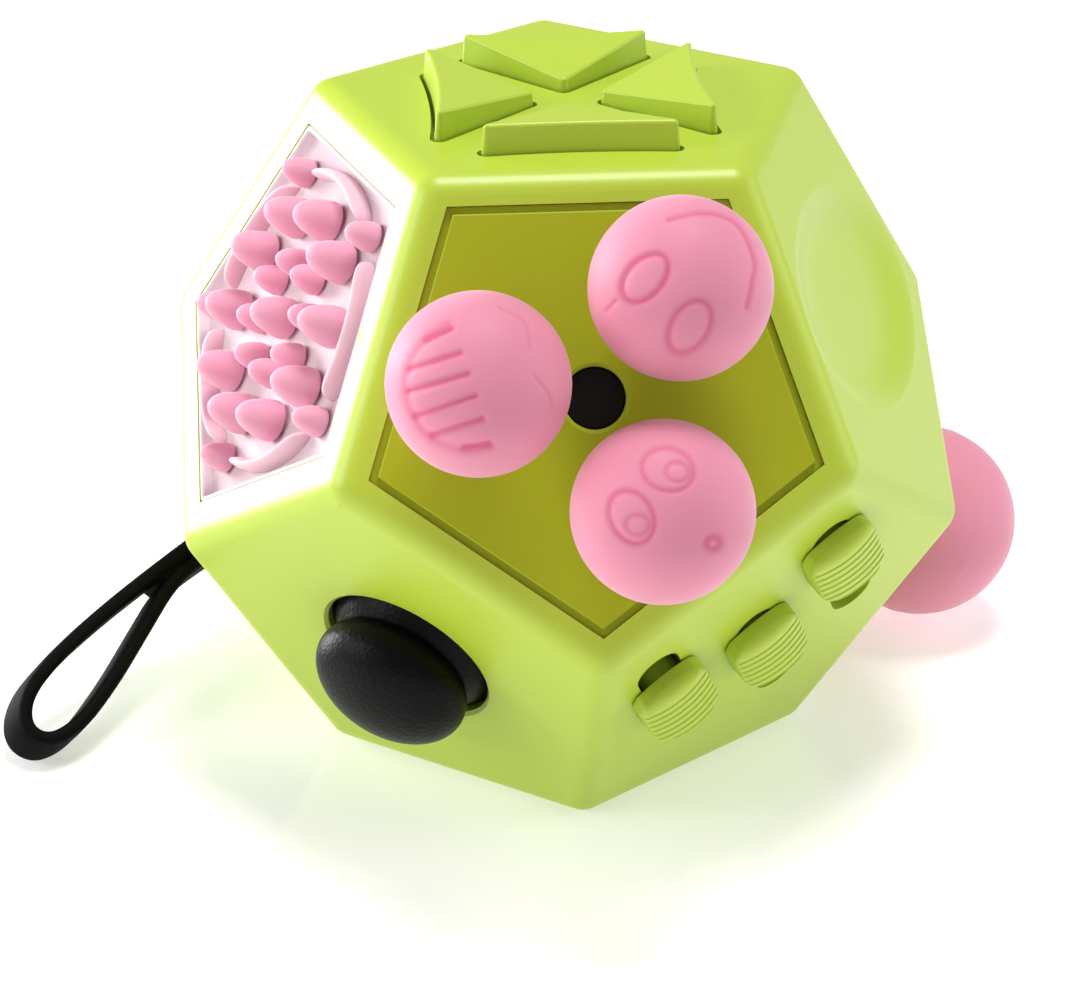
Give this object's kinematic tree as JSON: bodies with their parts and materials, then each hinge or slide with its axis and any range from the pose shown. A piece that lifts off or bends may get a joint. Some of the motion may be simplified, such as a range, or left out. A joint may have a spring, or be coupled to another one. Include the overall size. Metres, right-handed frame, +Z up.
{
  "type": "twelve-sided fidget toy",
  "caption": "Dodecahedral hand toy with squeeze balls, keys, a soft pad, a joystick, sliders, a dish, a rocker, thumb wheels, a spinner and a wrist strap.",
  "frame": {"origin": "middle of the plain face that the toy rests on", "axes": "+Z up, out of the face with the four keys; -Y towards the face with the three balls; the pad is on the -X side"},
  "size_m": [0.0947, 0.0809, 0.0605],
  "materials": {
    "lime_plastic": "fine matte moulded ABS",
    "olive_plastic": "fine matte moulded ABS",
    "pink_silicone": "soft matte silicone",
    "pale_silicone": "soft translucent silicone",
    "grey_silicone": "moulded silicone",
    "black_rubber": "leather grained soft rubber",
    "black_webbing": "narrow woven polyester",
    "black_plastic": "matte moulded plastic",
    "white_nylon": "natural nylon",
    "steel": "zinc plated",
    "black_gloss": "semi-gloss moulded plastic",
    "pink_plastic": "moulded plastic"
  },
  "bodies": {
    "body": {"front_shell": "lime_plastic", "rear_shell": "lime_plastic", "core_post": "white_nylon", "core_screws": "steel", "ball_panel": "olive_plastic", "hub_plug": "black_plastic", "key_membrane": "grey_silicone", "key_carrier": "white_nylon", "massage_pad": "pale_silicone", "stick_housing": "white_nylon", "stick_return_pad": "grey_silicone", "side_housing": "white_nylon", "side_return_pad": "grey_silicone", "slider_track": "black_plastic", "rocker_pin": "steel", "rocker_housing": "black_plastic", "wheel_axle": "steel", "wheel_cradle": "black_plastic", "disc_bush": "black_plastic", "disc_cap": "lime_plastic", "strap_bush": "black_plastic", "strap_bar": "steel", "module_screws": "steel", "wrist_strap": "black_webbing"},
    "ball_left": {"ball_left": "pink_silicone"},
    "ball_upper": {"ball_upper": "pink_silicone"},
    "ball_lower": {"ball_lower": "pink_silicone"},
    "key_front": {"key_front": "lime_plastic"},
    "key_right": {"key_right": "lime_plastic"},
    "key_back": {"key_back": "lime_plastic"},
    "key_left": {"key_left": "lime_plastic"},
    "stick_gimbal": {"stick_gimbal": "white_nylon"},
    "stick_knob": {"stick_cap": "black_rubber"},
    "side_gimbal": {"side_gimbal": "white_nylon"},
    "side_knob": {"side_stem": "black_plastic", "side_ball": "pink_silicone"},
    "slider_left": {"slider_left": "lime_plastic", "slider_clip_left": "black_plastic"},
    "slider_middle": {"slider_middle": "lime_plastic", "slider_clip_middle": "black_plastic"},
    "slider_right": {"slider_right": "lime_plastic", "slider_clip_right": "black_plastic"},
    "rocker": {"rocker": "black_gloss"},
    "thumb_wheel_left": {"thumb_wheel_left": "pink_plastic"},
    "thumb_wheel_middle": {"thumb_wheel_middle": "pink_plastic"},
    "thumb_wheel_right": {"thumb_wheel_right": "pink_plastic"},
    "spin_disc": {"spin_disc": "black_gloss"}
  },
  "joints": [
    {"name": "ball_left_squeeze", "type": "slide", "parent": "body", "child": "ball_left", "axis": [0, 0.8944, -0.4472], "range_m": [0, 0.0018], "stiffness_N_per_m": 600},
    {"name": "ball_upper_squeeze", "type": "slide", "parent": "body", "child": "ball_upper", "axis": [0, 0.8944, -0.4472], "range_m": [0, 0.0018], "stiffness_N_per_m": 600},
    {"name": "ball_lower_squeeze", "type": "slide", "parent": "body", "child": "ball_lower", "axis": [0, 0.8944, -0.4472], "range_m": [0, 0.0018], "stiffness_N_per_m": 600},
    {"name": "key_front_press", "type": "slide", "parent": "body", "child": "key_front", "axis": [0, 0, -1], "range_m": [0, 0.001], "stiffness_N_per_m": 400, "deforming": ["key_membrane"]},
    {"name": "key_right_press", "type": "slide", "parent": "body", "child": "key_right", "axis": [0, 0, -1], "range_m": [0, 0.001], "stiffness_N_per_m": 400, "deforming": ["key_membrane"]},
    {"name": "key_back_press", "type": "slide", "parent": "body", "child": "key_back", "axis": [0, 0, -1], "range_m": [0, 0.001], "stiffness_N_per_m": 400, "deforming": ["key_membrane"]},
    {"name": "key_left_press", "type": "slide", "parent": "body", "child": "key_left", "axis": [0, 0, -1], "range_m": [0, 0.001], "stiffness_N_per_m": 400, "deforming": ["key_membrane"]},
    {"name": "stick_rock", "type": "hinge", "parent": "body", "child": "stick_gimbal", "pos_m": [-0.01209, -0.01664, 0.01871], "axis": [0.809, -0.5878, 0], "range_deg": [-8, 8], "stiffness_Nm_per_rad": 0.03},
    {"name": "stick_sway", "type": "hinge", "parent": "stick_gimbal", "child": "stick_knob", "pos_m": [-0.01209, -0.01664, 0.01871], "axis": [-0.2629, -0.3618, 0.8944], "range_deg": [-8, 8], "stiffness_Nm_per_rad": 0.03},
    {"name": "side_rock", "type": "hinge", "parent": "body", "child": "side_gimbal", "pos_m": [0.01956, 0.00636, 0.01871], "axis": [-0.309, 0.9511, 0], "range_deg": [-8, 8], "stiffness_Nm_per_rad": 0.08},
    {"name": "side_sway", "type": "hinge", "parent": "side_gimbal", "child": "side_knob", "pos_m": [0.01956, 0.00636, 0.01871], "axis": [0.4253, 0.1382, 0.8944], "range_deg": [-8, 8], "stiffness_Nm_per_rad": 0.08},
    {"name": "slider_left_slide", "type": "slide", "parent": "body", "child": "slider_left", "axis": [-0.2629, -0.6382, 0.7236], "range_m": [-0.008, 0.0042]},
    {"name": "slider_middle_slide", "type": "slide", "parent": "body", "child": "slider_middle", "axis": [-0.2629, -0.6382, 0.7236], "range_m": [-0.0092, 0.0017]},
    {"name": "slider_right_slide", "type": "slide", "parent": "body", "child": "slider_right", "axis": [-0.2629, -0.6382, 0.7236], "range_m": [-0.0103, 0.0019]},
    {"name": "rocker_click", "type": "hinge", "parent": "body", "child": "rocker", "pos_m": [0.01346, 0.01852, 0.04045], "axis": [-0.809, 0.5878, 0], "range_deg": [-18, 0]},
    {"name": "thumb_wheel_left_spin", "type": "hinge", "parent": "body", "child": "thumb_wheel_left", "pos_m": [-0.00963, 0.02108, 0.04036], "axis": [-0.809, -0.5878, 0], "continuous": true},
    {"name": "thumb_wheel_middle_spin", "type": "hinge", "parent": "body", "child": "thumb_wheel_middle", "pos_m": [-0.01335, 0.01838, 0.04036], "axis": [-0.809, -0.5878, 0], "continuous": true},
    {"name": "thumb_wheel_right_spin", "type": "hinge", "parent": "body", "child": "thumb_wheel_right", "pos_m": [-0.01707, 0.01568, 0.04036], "axis": [-0.809, -0.5878, 0], "continuous": true},
    {"name": "disc_spin", "type": "hinge", "parent": "body", "child": "spin_disc", "pos_m": [0, 0.02594, 0.01603], "axis": [0, 0.8944, -0.4472], "continuous": true}
  ]
}
